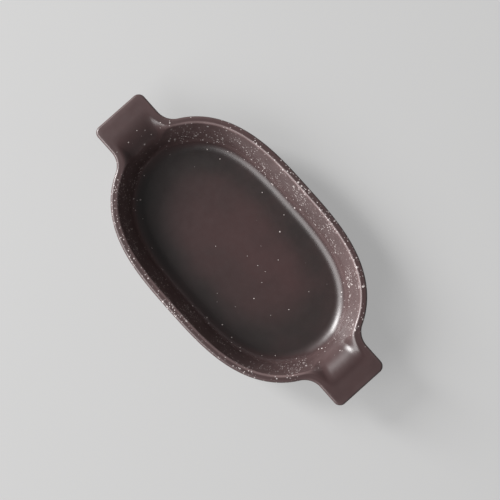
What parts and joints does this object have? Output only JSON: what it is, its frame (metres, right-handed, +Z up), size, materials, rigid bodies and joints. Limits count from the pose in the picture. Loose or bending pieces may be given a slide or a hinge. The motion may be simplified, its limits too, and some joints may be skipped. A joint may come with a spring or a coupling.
{
  "type": "oval eared dish",
  "caption": "Oval glazed stoneware serving and baking dish with a flat tab ear at each end and a low unglazed foot ring.",
  "frame": {"origin": "centre of the foot ring's underside, on the surface that the dish stands on", "axes": "+Z up; +X along the long axis of the oval, towards ear_right; +Y across the oval"},
  "size_m": [0.2986, 0.15, 0.042],
  "materials": {
    "clay": "matte",
    "glaze": "satin"
  },
  "bodies": {
    "root": {"bowl_shell": "clay", "ear_left": "clay", "ear_right": "clay", "foot_ring": "clay", "inner_glaze": "glaze", "outer_glaze": "glaze"}
  },
  "joints": []
}
